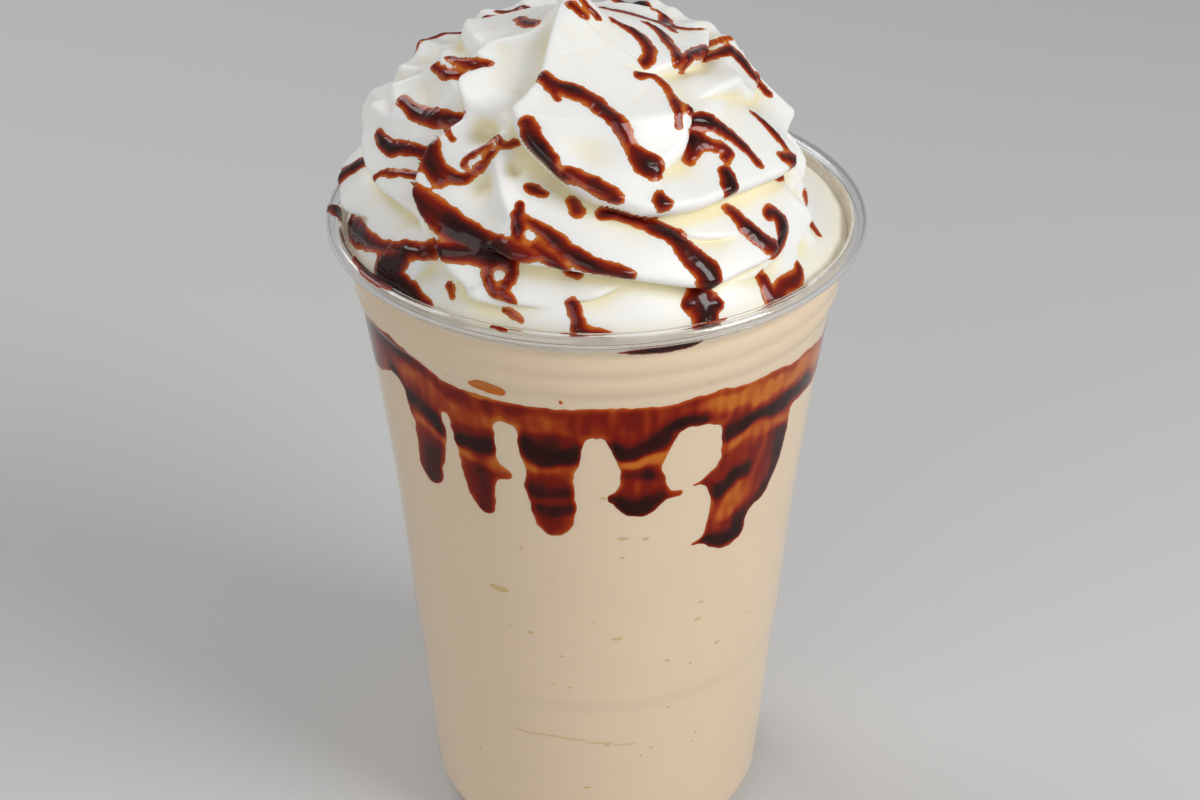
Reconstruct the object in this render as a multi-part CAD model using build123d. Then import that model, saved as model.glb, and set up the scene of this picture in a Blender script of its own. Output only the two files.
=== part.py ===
"""Vanilla milkshake in a clear disposable cup, with syrup on the wall and a whipped cream swirl on top.

The cup is one thin sheet turned about Z: a raised base inside a foot ring, a nesting step near the
bottom, a body that flares a little, two stacking beads and a rolled rim. The shake fills it to just
under the rim. A ring of chocolate syrup with drips lies between the shake and the wall, and the
cream swirl stands on the shake inside the rim.

Millimetres, +Z up, origin in the middle of the foot's contact plane. -Y is the front.
"""

from build123d import *
import math
import os

# Cup
CUP_HEIGHT = 131.0  # table to the top of the rolled rim
RIM_RADIUS = 49.0  # outside of the rolled rim
CURL_RADIUS = 1.45  # outside of the rim's round section
CURL_END = -100.0  # degrees round the curl at which the sheet stops, 90 being its top
WALL = 0.6  # sheet thickness
PUNT_HEIGHT = 2.5  # how far the middle of the base is raised
PUNT_RADIUS = 19.0
FOOT_INNER_RADIUS = 22.5
BASE_RADIUS = 33.3  # wall above the rounded base corner
BASE_CORNER = 8.0
STEP_TOP = 44.5  # top of the nesting step
STEP_HEIGHT = 3.2
STEP_DEPTH = 0.65
BODY_LOW_RADIUS = 36.4  # body at the top of the nesting step
BODY_TOP_SET_IN = 5.3  # rim's outside to the body under the stacking beads
BODY_FLARE = 0.8  # how far the body's outline is hollow between those two
BEAD_COUNT = 2
BEAD_HEIGHT = 4.4
BEAD_BULGE = 0.45
BEAD_SET_IN = 0.35  # how much narrower the wall gets at each bead, going down
NECK_SET_IN = 4.0  # rim's outside to the wall above the upper bead
NECK_DROP = 6.4  # rim top to the upper bead
SHOULDER_DROP = 2.7  # rim top to where the wall turns upright under the curl

# Contents
SHAKE_DROP = 4.5  # rim top to the shake's surface
SAUCE_THICKNESS = 1.0
SAUCE_TOP_DROP = 17.2  # rim top to the syrup ring's upper edge
SAUCE_BAND_HEIGHT = 7.0
# Each front drip: degrees round from +X, width, and length below the ring.
FRONT_DRIPS = [
    (-138, 7.4, 19),
    (-120.5, 9.0, 20),
    (-102, 9.6, 22),
    (-78.5, 9.4, 18),
    (-55, 9.0, 30),
    (-42, 14.0, 25),
]
BACK_DRIPS = 9  # further drips, spread from BACK_FROM to BACK_TO degrees
BACK_FROM = -14.0
BACK_TO = 196.0
BACK_DRIP_WIDTH = 8.5
BACK_DRIP_LENGTH = 17.0

# Whipped cream
CREAM_HEIGHT = 43.0  # of the dome's outline above the rim's top
TIP_CUT = 0.4  # how much of that the flat of the tip takes off
CREAM_CLEARANCE = 0.35  # to the cup's inner wall
CREAM_SET_IN = 3.4  # rim's outside to the dome at the rim's top
DOME_POWER = 0.72  # 0.5 is an ellipse, and more is slimmer near the top
COIL_PITCH = 13.0  # rise of the swirl in one turn, clockwise seen from above
COIL_START = 6.5  # height of the crease above the rim at COIL_ANGLE
COIL_ANGLE = -60.0
COIL_DEPTH = 3.0
COIL_CREASE = 0.16  # half width of the crease, as a share of the pitch
PLEATS = 13
PLEAT_DEPTH = 1.5
PLEAT_LEAN = 1.4  # degrees each pleat turns in one millimetre of height
SMOOTH_ANGLE = -60.0  # where the pleats are faintest
SMOOTHING = 0.6  # how much fainter they are there
TIP_RADIUS = 2.2
TIP_OFFSET = (-3.0, -4.0)
SECTION_STEP = 1.6
SECTION_POINTS = 104

RIM_TOP = CUP_HEIGHT
CURL_INNER_RADIUS = RIM_RADIUS - 2 * CURL_RADIUS
BODY_TOP_RADIUS = RIM_RADIUS - BODY_TOP_SET_IN
NECK_RADIUS = RIM_RADIUS - NECK_SET_IN
LEVEL = RIM_TOP - SHAKE_DROP
FAR = 3 * RIM_RADIUS


def wall_edges(inset):
    """The wall's outline from the axis at the base to the curl, moved inwards by inset, as edges in XZ."""
    foot_radius = BASE_RADIUS - BASE_CORNER
    corner_centre = (foot_radius, BASE_CORNER)
    corner = BASE_CORNER - inset
    diagonal = corner * math.sqrt(0.5)
    corner_mid = (corner_centre[0] + diagonal, corner_centre[1] - diagonal)

    beads_low = RIM_TOP - NECK_DROP - BEAD_COUNT * BEAD_HEIGHT
    body_mid = ((BODY_LOW_RADIUS + BODY_TOP_RADIUS) / 2 - BODY_FLARE, (STEP_TOP + beads_low) / 2)
    sheet_outside = CURL_INNER_RADIUS + WALL

    def at(radius, height):
        return (radius - inset, 0, height)

    edges = [
        Polyline(
            (0, 0, PUNT_HEIGHT + inset),
            (PUNT_RADIUS, 0, PUNT_HEIGHT + inset),
            (FOOT_INNER_RADIUS, 0, inset),
            (foot_radius, 0, inset),
        ),
        ThreePointArc(
            (foot_radius, 0, inset), (corner_mid[0], 0, corner_mid[1]), at(BASE_RADIUS, BASE_CORNER)
        ),
        Polyline(
            at(BASE_RADIUS, BASE_CORNER),
            at(BODY_LOW_RADIUS - STEP_DEPTH, STEP_TOP - STEP_HEIGHT),
            at(BODY_LOW_RADIUS, STEP_TOP),
        ),
        ThreePointArc(at(BODY_LOW_RADIUS, STEP_TOP), at(*body_mid), at(BODY_TOP_RADIUS, beads_low)),
    ]
    low = (BODY_TOP_RADIUS, beads_low)
    for i in range(BEAD_COUNT):
        radius = NECK_RADIUS - BEAD_SET_IN * (BEAD_COUNT - 1 - i)
        high = (radius, low[1] + BEAD_HEIGHT)
        middle = ((low[0] + high[0]) / 2 + BEAD_BULGE, (low[1] + high[1]) / 2)
        edges.append(ThreePointArc(at(*low), at(*middle), at(*high)))
        low = high
    shoulder = at(sheet_outside, RIM_TOP - SHOULDER_DROP)
    curl_start = at(sheet_outside, RIM_TOP - CURL_RADIUS)
    edges.append(Polyline(at(*low), shoulder, curl_start))
    return edges


def curl_edges():
    """The rolled rim: outer and inner arcs and the sheet's end, joining the two sides of the wall."""
    centre = (RIM_RADIUS - CURL_RADIUS, RIM_TOP - CURL_RADIUS)

    def on(radius, degrees):
        angle = math.radians(degrees)
        return (centre[0] + radius * math.cos(angle), 0, centre[1] + radius * math.sin(angle))

    middle = (180 + CURL_END) / 2
    inside = CURL_RADIUS - WALL
    return [
        ThreePointArc(on(CURL_RADIUS, 180), on(CURL_RADIUS, middle), on(CURL_RADIUS, CURL_END)),
        Line(on(CURL_RADIUS, CURL_END), on(inside, CURL_END)),
        ThreePointArc(on(inside, CURL_END), on(inside, middle), on(inside, 180)),
    ]


def turned(edges):
    """The solid of revolution about Z of a closed outline in XZ."""
    pieces = [edge for item in edges for edge in item.edges()]
    return revolve(make_face(Wire(pieces)), Axis.Z)


def cup():
    """The cup's sheet: outer wall, inner wall and the curl between them."""
    base = Line((0, 0, PUNT_HEIGHT), (0, 0, PUNT_HEIGHT + WALL))
    return turned([base, *wall_edges(0), *curl_edges(), *wall_edges(WALL)])


def cavity(inset, low, high):
    """The space within the wall, inset from its outside, between two heights."""
    side = wall_edges(inset)
    top = side[-1] @ 1
    bottom = side[0] @ 0
    lid = Polyline(top, (0, 0, top.Z), bottom)
    room = turned([*side, lid])
    slab = Pos(0, 0, low) * Cylinder(FAR, high - low, align=(Align.CENTER, Align.CENTER, Align.MIN))
    return room & slab


def drips():
    """Degrees, width and length of every drip: the front ones as listed, then the back ones in a loop."""
    rows = list(FRONT_DRIPS)
    for i in range(BACK_DRIPS):
        share = (i + 0.5) / BACK_DRIPS
        sway = math.sin(2.4 * i + 1.0)
        angle = BACK_FROM + (BACK_TO - BACK_FROM) * share + 3.0 * sway
        width = BACK_DRIP_WIDTH * (1 + 0.2 * math.cos(1.7 * i))
        length = BACK_DRIP_LENGTH * (1 + 0.3 * sway)
        rows.append((angle, width, length))
    return rows


def wall_sauce():
    """The syrup ring with its drips, one coat thick, on the inside of the wall."""
    ring_top = RIM_TOP - SAUCE_TOP_DROP
    ring_low = ring_top - SAUCE_BAND_HEIGHT
    longest = max(length + width for _, width, length in drips())
    coat_low = ring_low - longest
    coat = cavity(WALL, coat_low, ring_top) - cavity(WALL + SAUCE_THICKNESS, coat_low, ring_top)
    band = Pos(0, 0, ring_low) * Cylinder(
        FAR, SAUCE_BAND_HEIGHT, align=(Align.CENTER, Align.CENTER, Align.MIN)
    )
    stencil = band
    for degrees, width, length in drips():
        shaft = length - width / 2 + SAUCE_BAND_HEIGHT / 2
        outline = Plane.YZ * Pos(0, ring_low + SAUCE_BAND_HEIGHT / 2 - shaft / 2) * Rectangle(width, shaft)
        outline += Plane.YZ * Pos(0, ring_low - length + width / 2) * Circle(width / 2)
        stencil += Rot(0, 0, degrees) * extrude(outline, FAR)
    return coat & stencil


def milkshake(sauce):
    """The drink, from the base to its surface, cut round the syrup."""
    return cavity(WALL, 0, LEVEL) - sauce


def cream_radius(degrees, height):
    """How far the swirl reaches out at an angle and a height above the rim's top."""
    base = RIM_RADIUS - CREAM_SET_IN
    dome = base * max(0.0, 1 - (max(height, 0.0) / CREAM_HEIGHT) ** 2) ** DOME_POWER
    phase = (height - COIL_START) / COIL_PITCH - (COIL_ANGLE - degrees) / 360
    crease = math.exp(-(((phase - round(phase)) / COIL_CREASE) ** 2))
    ridge = 1 - 2 * abs(math.sin(math.radians(PLEATS * (degrees - PLEAT_LEAN * height) / 2)))
    faint = SMOOTHING * (1 + math.cos(math.radians(degrees - SMOOTH_ANGLE))) / 2
    grown = min(1.0, max(0.0, (height + 1.0) / 6))
    room = min(1.0, 2 * dome / base)
    return dome + grown * room * (PLEAT_DEPTH * (1 - faint) * ridge - COIL_DEPTH * crease)


def cream_limit(height):
    """How far the cream may reach at a height, clear of the wall below the rim's top."""
    if height > 0:
        return RIM_RADIUS
    rise = (NECK_DROP + height) / (NECK_DROP - SHOULDER_DROP)
    neck = NECK_RADIUS - WALL
    return neck + (CURL_INNER_RADIUS - neck) * min(1.0, max(0.0, rise)) - CREAM_CLEARANCE


def cream_section(height):
    """One level outline of the swirl, as a closed smooth wire."""
    lean = (max(height, 0.0) / CREAM_HEIGHT) ** 2
    limit = cream_limit(height)
    points = []
    for i in range(SECTION_POINTS):
        degrees = 360 * i / SECTION_POINTS
        radius = max(TIP_RADIUS, min(limit, cream_radius(degrees, height)))
        angle = math.radians(degrees)
        x = radius * math.cos(angle) + TIP_OFFSET[0] * lean
        y = radius * math.sin(angle) + TIP_OFFSET[1] * lean
        points.append((x, y, RIM_TOP + height))
    return Wire([Spline(*points, periodic=True)])


def whipped_cream():
    """The swirl, lofted through level outlines from the shake's surface to the tip."""
    low = -SHAKE_DROP
    high = CREAM_HEIGHT - TIP_CUT
    count = math.ceil((high - low) / SECTION_STEP)
    heights = [low + (high - low) * i / count for i in range(count + 1)]
    return Solid.make_loft([cream_section(height) for height in heights], ruled=True)


os.makedirs("parts", exist_ok=True)
sauce = wall_sauce()
for name, shape in {
    "cup": cup(),
    "wall_sauce": sauce,
    "milkshake": milkshake(sauce),
    "whipped_cream": whipped_cream(),
}.items():
    export_step(shape, f"parts/{name}.step")
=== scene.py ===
"""A milkshake in a clear plastic cup, with syrup on the wall and a drizzled swirl of whipped cream."""

import functools
import math
import random

import bpy
import numpy as np
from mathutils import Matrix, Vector, noise


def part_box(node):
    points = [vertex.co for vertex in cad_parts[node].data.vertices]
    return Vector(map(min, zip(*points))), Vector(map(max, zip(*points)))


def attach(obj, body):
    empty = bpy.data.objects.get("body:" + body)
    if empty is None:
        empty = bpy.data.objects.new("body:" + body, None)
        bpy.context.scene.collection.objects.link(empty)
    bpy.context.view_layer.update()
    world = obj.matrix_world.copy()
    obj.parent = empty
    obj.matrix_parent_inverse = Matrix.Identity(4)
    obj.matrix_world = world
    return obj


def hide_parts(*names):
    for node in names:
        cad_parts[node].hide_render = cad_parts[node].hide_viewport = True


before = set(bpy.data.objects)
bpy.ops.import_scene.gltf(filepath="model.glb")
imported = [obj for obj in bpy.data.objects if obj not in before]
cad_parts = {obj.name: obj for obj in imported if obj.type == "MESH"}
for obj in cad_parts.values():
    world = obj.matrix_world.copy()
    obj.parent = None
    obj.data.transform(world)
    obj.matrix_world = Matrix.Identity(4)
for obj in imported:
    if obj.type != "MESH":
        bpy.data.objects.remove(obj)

bl_info = {
    "name": "Milkshake",
    "version": (1, 0, 0),
    "blender": (4, 5, 0),
    "location": "View3D > Sidebar > Milkshake",
    "description": "Builds a milkshake in a clear cup, with wall syrup, whipped cream and a syrup drizzle",
    "category": "Mesh",
}

BODY = "root"
MM = 0.001

# Places that the frame gives, in millimetres
RIM_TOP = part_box("cup")[1].z / MM
RIM_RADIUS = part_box("cup")[1].x / MM
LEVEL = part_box("milkshake")[1].z / MM
CREAM_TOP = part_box("whipped_cream")[1].z / MM
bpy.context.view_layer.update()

# The cup's sheet, in millimetres
WALL = 0.6
CURL_RADIUS = 1.45
SHEET_RADIUS = RIM_RADIUS - 2 * CURL_RADIUS + WALL
CURL_END = -100.0  # where the roll ends, in degrees round it
BASE_CORNER = 8.0  # the radius of the corner between the base and the side
BASE_CORNER_CENTRE = 25.3

# The swirl of cream. Degrees run round from +X with -90 at the front, heights are millimetres above the rim.
# A crease is where an upper fold lies over a lower one: its route, how far the upper side stands out, how
# far the lower side sinks, and how wide the two are.
CREASES = [
    # The upper coil's lower edge: down the left of the front lobe, then round to the right
    ([(-150, 38.3), (-125, 36.5), (-115, 33.5), (-115, 30.3), (-116, 28), (-112, 25.8), (-105, 24),
      (-99, 22.4), (-92, 20), (-83, 18.2), (-76, 16.8), (-65, 16.5), (-52, 16.6), (-39, 15.8),
      (-24, 14), (-5, 14)], 3, 3, 5.5),
    # The middle coil's lower edge
    ([(-118, 12), (-106, 10.2), (-98, 9.9), (-87, 8.9), (-77, 7), (-66, 5), (-56, 5.6), (-47, 5.8), (-37, 8)],
     3, 3, 5),
    # The middle coil's end at the right
    ([(-23, -1), (-20, 2), (-21, 6), (-23, 9.6), (-21, 13)], 2.2, 2, 4),
    # The fold beyond it, beside the rim
    ([(-12, 0.5), (-10.5, 4), (-12, 8), (-9, 12), (-3, 14.5)], 2.2, 2.2, 4),
    ([(-36, -1.5), (-33, 1.5), (-27, 3.2), (-20, 3.4)], 1.2, 1.2, 3),
    # Small pleats on the face of the middle coil and of the lowest one
    ([(-72, 15.4), (-66, 12.6), (-57, 11.2), (-50, 11.6)], 0.9, 0.9, 3),
    ([(-60, 3.4), (-50, 2.6), (-42, 3.4), (-36, 5.2)], 1, 1, 3),
    # A small fold on the lowest coil
    ([(-100, 3.5), (-91, 4.4), (-86, 5.7), (-80, 7.6)], 1.2, 1, 3),
    # The front lobe's right edge, over the right lobes
    ([(-74, 19.5), (-69, 21.7), (-61, 23.3), (-54, 26), (-50, 28.5), (-46, 31.5), (-55, 32.8), (-68, 34)],
     1.6, 2.2, 4),
    # The lobes at the right, from the tip down
    ([(-58, 33), (-36, 32), (-19, 30.4), (5, 28.6), (25, 27.6), (45, 27)], 1.6, 1.5, 4.5),
    ([(-46, 28.5), (-34, 27.3), (-17, 25.2), (-4, 21.8), (18, 20)], 1.8, 1.6, 4.5),
    # The fold that stands over the left pleats
    ([(-150, 33), (-147, 29.4), (-139, 27), (-140, 24.3), (-142, 21), (-141, 18.6), (-138, 15.5),
      (-134, 13.2), (-128, 10.8), (-125, 7.7), (-121, 4.7), (-116, 3)], 3, 4.2, 5),
    # The left pleat's lower edge, over the fold beside the rim
    ([(-170, 29), (-176, 25), (-178, 20), (-176, 14.8), (-168, 13.2), (-161, 12.3), (-154, 12), (-146, 12.3),
      (-139, 11.4), (-135, 8)], 3, 2.8, 4.5),
    # The fold that hangs over the rim at the far left
    ([(168, 10), (177, 6), (185, 3.2), (193, 3.2), (203, 5.4)], 2.8, 2, 4),
    # The low folds beside the rim at the left
    ([(-137, -1), (-133, 3), (-131, 7), (-133, 9.5)], 1.6, 2, 3.5),
    ([(-124, 7.1), (-120, 5.1), (-119, 2.7), (-112, 1.8), (-104, 0.6)], 2, 2, 3),
    ([(-116, 5.6), (-112, 3.6), (-105, 2.6), (-98, 3.2)], 1.4, 1.4, 3),
]
# A sharp crest: its route, height and half width.
RIDGES = [
    ([(-138, 38), (-153, 35.7), (-165, 33.8), (-160, 32.4), (-150, 31), (-141, 28.2), (-136, 26)], 2, 3),
    ([(-150, 34), (-160, 31.2), (-172, 27.4), (-178, 23.5)], 2.4, 3),
    ([(-162, 33.5), (-178, 29), (170, 23), (166, 15), (169, 6)], 3.4, 4),
    ([(-126, 25.5), (-120, 24.2), (-116, 21.6), (-112, 18.2), (-106, 14)], 2.8, 2.2),
    ([(-129, 20), (-125.5, 22.5), (-122, 25.6), (-117, 24.6), (-112, 26)], 1.8, 1.6),
    ([(-150, 30), (-152, 26), (-153, 21), (-151, 16.5)], 1.6, 2.6),
]
# A broad swell or, below zero, a dent: its place, radius and height.
SWELLS = [
    (-80, 27, 11, 2.2),
    (-90, 25, 4.5, -1.5),
    (-30, 29, 7, 1),
    (-15, 19, 8, 1.2),
    (-70, 11, 9, 0.8),
    (-60, 2, 9, 1),
    (-121, 20, 3, -1.6),
    (-129, 26.5, 3.5, -4.2),
    (-114, 22.6, 1.7, -1.9),
    (178, 4, 6, 2.4),
    (-168, 7, 5, 1.6),
    (-120, 38.2, 4.5, 3.8),
]
# How far the calm dome reaches at the rim's height, at angles from the front round to the front again
SIDE_ANGLES = (-90, -45, 0, 45, 90, 135, 180, 225, 270)
SIDE_RADII = (45.4, 43, 37.2, 38.5, 41.5, 42.5, 43.5, 45, 45.4)
# Pleats round the back, made by a loop: how many, and between which angles.
BACK_PLEATS = 11
BACK_FROM = 0.0
BACK_TO = 172.0
# Creases round the back, given as the others are.
BACK_CREASES = [
    ([(-12, 14), (30, 12), (75, 10), (115, 8), (150, 4.5), (174, 1)], 2.6, 2.6, 5),
    ([(15, 20), (60, 20.5), (100, 20), (135, 18), (160, 15)], 2.4, 2.4, 5),
    ([(42, 27), (85, 29), (130, 30), (165, 30), (190, 31)], 2, 2, 4),
]

# Strokes of syrup over the cream: degrees, height above the rim and width, all in millimetres but the first.
DRIZZLE = [
    [(-112, 38, 0.8), (-81, 37.6, 0.9)],
    [(-70, 38.2, 0.8), (-49, 37.6, 0.9)],
    [(150, 34.5, 1.4), (165, 35.5, 1.9), (180, 36.2, 1.8), (195, 36.6, 1)],
    [(-170, 29.4, 1.1), (-158, 30.8, 1.6), (-150, 31.9, 1.3)],
    [(-170, 27.7, 1.2), (-162, 28.5, 1.6), (-157, 29.4, 1)],
    [(-168, 22.6, 1.6), (-161, 23.2, 2.5), (-151, 24.6, 2.8), (-144, 26, 1.8), (-138, 27, 0.8)],
    [(-167, 17.3, 1.5), (-159, 17.6, 2.4), (-152, 19.6, 2), (-140, 21.5, 1.9)],
    [(-156, 13.4, 0.9), (-153, 15.2, 0.9), (-139, 18.6, 1)],
    [(-172, 13.5, 1.6), (-176, 9, 2.6), (-178, 4, 2.8), (-174, 1, 2)],
    [(-172, -1, 2.6), (-164, 0.4, 4), (-156, 1.9, 3.2), (-148, 3.4, 1.6), (-140, 5.6, 2),
     (-132, 7.3, 3)],
    [(-138, 5.6, 2.6), (-140, 3.1, 4.6), (-145, 0, 5.4), (-138, -0.4, 5), (-129, -1.8, 2.6)],
    [(-139, 21.6, 2.4), (-137, 20.2, 3.6), (-132, 18.6, 2.4)],
    [(-135, 19.8, 1.8), (-128, 19.6, 1.7), (-125, 20.8, 1.2), (-120, 23.8, 1)],
    [(-138, 24.2, 0.9), (-135, 23.5, 0.6)],
    [(-128, 21.3, 0.8), (-127, 22.6, 0.8), (-123, 24.3, 0.9), (-122, 25.6, 0.7), (-118, 24.9, 0.7),
     (-115, 25.8, 0.6)],
    [(-136, 15.8, 3), (-129, 14.4, 4.6), (-122, 12.9, 4.4), (-115, 11.7, 4.2), (-107, 12, 3.6),
     (-102, 11.8, 0.7)],
    [(-131, 8.8, 2.2), (-124, 9.6, 2.8), (-118, 10.2, 3.6), (-111, 10.4, 3.4)],
    [(-114, 9.9, 1.5), (-114, 7.1, 1.5), (-112, 4.8, 1.3)],
    [(-110, 9.9, 1.6), (-109, 7.4, 1.6), (-110, 5.2, 1.8), (-108, 3.8, 1.2)],
    [(-110, 1.4, 0.8), (-106, 0.3, 0.7)],
    [(-108, 18, 1), (-108, 16, 1.7), (-107, 13.5, 1.6)],
    [(-106, 16.5, 0.8), (-100, 14.6, 2.2), (-95, 12.4, 2.7), (-89, 10.7, 2.4), (-83, 9.3, 2.2)],
    [(-103, 12.9, 1.8), (-99, 11.4, 2.2), (-94, 8.8, 1.5)],
    [(-108, 20.8, 1), (-106, 20.6, 1.5), (-103, 20.1, 1)],
    [(-109, 32.2, 2.1), (-105, 31.7, 2.2), (-98, 31.4, 2.5), (-90, 30.7, 2.6), (-84, 28.8, 2.5),
     (-80, 26.8, 2.2), (-78, 25.2, 1.6), (-76, 23.6, 3), (-74, 22.6, 4), (-72, 21.9, 2.6)],
    [(-104, 31.5, 1.2), (-101, 30.1, 0.8)],
    [(-108, 26.8, 2.2), (-105, 25.2, 3.4), (-101, 23.7, 3.4), (-98, 22.4, 2.6), (-95, 22, 1.4)],
    [(-95, 22.6, 1.4), (-91, 21.7, 2.4), (-87, 20.5, 2.6), (-84, 19.4, 2.2)],
    [(-95, 19.7, 1.6), (-94, 18.2, 2.2)],
    [(-87, 17.9, 2), (-83, 17.8, 2.2), (-78, 16.5, 2.3), (-73, 14.6, 2.6), (-70, 12.6, 3.2),
     (-68, 10.2, 3.8), (-66, 7.7, 4.2), (-66, 4.5, 3.8), (-66, 1.9, 4.6), (-66, -1.2, 4.2)],
    [(-69, 1.9, 2.2), (-63, 1.2, 2.6)],
    [(-73, 18.9, 1.6), (-73, 18.2, 2.8)],
    [(-51, 19.4, 2.4), (-53, 17.9, 3.1)],
    [(-52, 14.9, 1.8), (-51, 11.7, 2.6), (-48, 8.6, 3.1), (-43, 5.8, 2.9), (-40, 6.8, 3.4), (-37, 8.6, 3.6),
     (-38, 10.8, 2.6), (-41, 11.4, 1.7)],
    [(-55, 26.8, 1.8), (-46, 25.6, 2.6), (-40, 23.4, 2.2), (-38, 20.9, 1.8), (-38, 18.3, 1.4)],
    [(-59, 32.2, 1.7), (-53, 31.5, 1.1), (-54, 29.7, 0.8), (-58, 27.7, 1.2), (-61, 25.9, 1)],
    [(-57, 25.2, 1.2), (-54, 24.4, 2.9), (-59, 22.6, 1.7)],
    [(-54, 24.4, 2.6), (-49, 23.3, 1.8), (-45, 21.7, 1.8), (-48, 21.1, 1.2)],
    [(-18, 22, 1.2), (-20, 19.4, 1.9), (-22, 16.9, 1.2)],
    [(-25, 31, 0.6), (-17, 31.2, 1.4), (-9, 30.6, 2), (4, 29.3, 2.2), (11, 27.2, 2.4), (13, 24.3, 2.5),
     (10, 21.9, 1.9)],
    [(-9, 36.9, 1.7), (-10, 35.8, 2.6), (-19, 34.9, 2.4), (-33, 33.9, 2.2), (-45, 33.5, 1.7)],
    [(26, 33.8, 1.6), (13, 33.1, 2.2), (-9, 32.6, 1.8), (-28, 31.8, 1.3)],
    [(60, 36.2, 1.7), (50, 34, 2.2), (44, 31.4, 2.2), (38, 29.4, 1.7), (28, 28.4, 1.2)],
    [(20, 27.8, 1.1), (19, 26, 0.8)],
    [(12, 21, 1), (10, 18.4, 1.1)],
    [(-27, 16.6, 1.9), (-24, 15, 3.1), (-22, 13.6, 2.6)],
    [(-15, 6.7, 1), (-14, 2.8, 1.1), (-18, 0.4, 1)],
    [(-48, 1.9, 2.2), (-48, -1.4, 2.9), (-44, -0.6, 2.9), (-38, -0.6, 2.2), (-36, 0.2, 1.7)],
    [(-95, 3.7, 1.6), (-94, 1.7, 1.8), (-93, -0.7, 2.2), (-88, -1.6, 1.8)],
    [(-125, 2.8, 0.6), (-123, 1.4, 0.6)],
]
# Syrup run over the rolled rim: degrees, angle round the roll from its outer side, and width
RIM_SMEARS = [
    [(127, 100, 1), (132, 110, 2.4), (139, 120, 3.8), (147, 120, 4), (155, 115, 3), (161, 100, 0.8)],
    [(150, 85, 1.4), (157, 75, 1.8), (164, 60, 0.6)],
    [(-179, 25, 1.4), (-178, 70, 2.4), (-177, 110, 3), (-175, 150, 3.6)],
    [(-154, 120, 1), (-149, 105, 2), (-143, 92, 2.2), (-138, 85, 1)],
    [(-111, 70, 0.8), (-108, 62, 0.7)],
    [(-97, 90, 0.4), (-94, 90, 0.6)],
    [(-69, 92, 0.4), (-66, 92, 0.7), (-63, 92, 0.4)],
]
# Syrup smeared under the rim: degrees, height above the rim's top and width
NECK_SMEARS = [
    [(-85, -4.8, 0.5), (-81, -4.8, 1.5), (-76, -4.8, 2.1), (-71, -4.6, 2.2), (-67.5, -4.3, 1.2)],
    [(-100, -3.6, 0.4), (-97, -3.6, 0.5)],
    [(95, -4.5, 0.4), (102, -4.7, 1.3), (110, -4.4, 0.6)],
]

# The syrup on the wall. Heights are above the rim's top, so they are below zero.
BAND_TOP = [
    (-180, -16), (-163, -15), (-152, -13), (-145, -12.6), (-137, -14.6), (-129, -17), (-114, -17.7),
    (-96, -17.4), (-70, -17.5), (-61, -16.8), (-50, -18), (-37, -18.7), (-28, -18.8), (-18, -20),
    (10, -18), (50, -16.5), (90, -18), (130, -16), (180, -16),
]
BAND_LOW = [
    (-180, -24), (-165, -27), (-157, -25.7), (-150, -22.8), (-131, -24.2), (-113, -22.6), (-90, -23.6),
    (-66, -23.4), (-50, -25), (-30, -29), (-18, -30), (-4, -26), (30, -24.5), (70, -26),
    (120, -23.5), (150, -25), (180, -24),
]
RUNS = [
    [(-138, -25, 8.8), (-136, -30, 8.8), (-137, -35, 7.4), (-138, -39.6, 6.8)],
    [(-121, -25.5, 9.6), (-121, -30, 8.6), (-121, -35, 7.2), (-120.5, -39, 6.4), (-119.5, -42.6, 3.8)],
    [(-117, -33.5, 3), (-113.5, -34, 2.4)],
    [(-101.5, -25.4, 11.6), (-101.5, -28.6, 10.4), (-101.5, -32, 9), (-101.5, -37, 8.8), (-101, -42, 7.2),
     (-101, -44.2, 4.8)],
    [(-79, -25.2, 11), (-79, -28, 9.2), (-79, -31, 7.8), (-78.6, -35, 8.2), (-79.5, -38.6, 7.6)],
    [(-82, -37.4, 3), (-86, -37.6, 1.6)],
    [(-76, -37, 3.4), (-73, -37.8, 2), (-69, -38.2, 0.6)],
    [(-46, -27, 18), (-45.5, -33, 18), (-45.5, -37, 17.5), (-46, -41, 14)],
    [(-52, -40, 10), (-53, -45, 9), (-53, -49, 8)],
    [(-57, -36.4, 3), (-61, -36.8, 1.8), (-65, -37.2, 0.6)],
    [(-56, -50.6, 4.6), (-60, -50.8, 2.2), (-64, -51.2, 0.6)],
    [(-52, -51, 6), (-50, -51.6, 4)],
]
SPLASHES = [
    [(-119.5, -15.2, 1), (-116, -15.1, 2.2), (-112.5, -15.4, 2.2)],
    [(-98, -16.1, 1.1)],
    [(40, -14.8, 1.4), (44, -15, 1)],
    [(138, -14.4, 1.2)],
]
BACK_RUNS = 7
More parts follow.
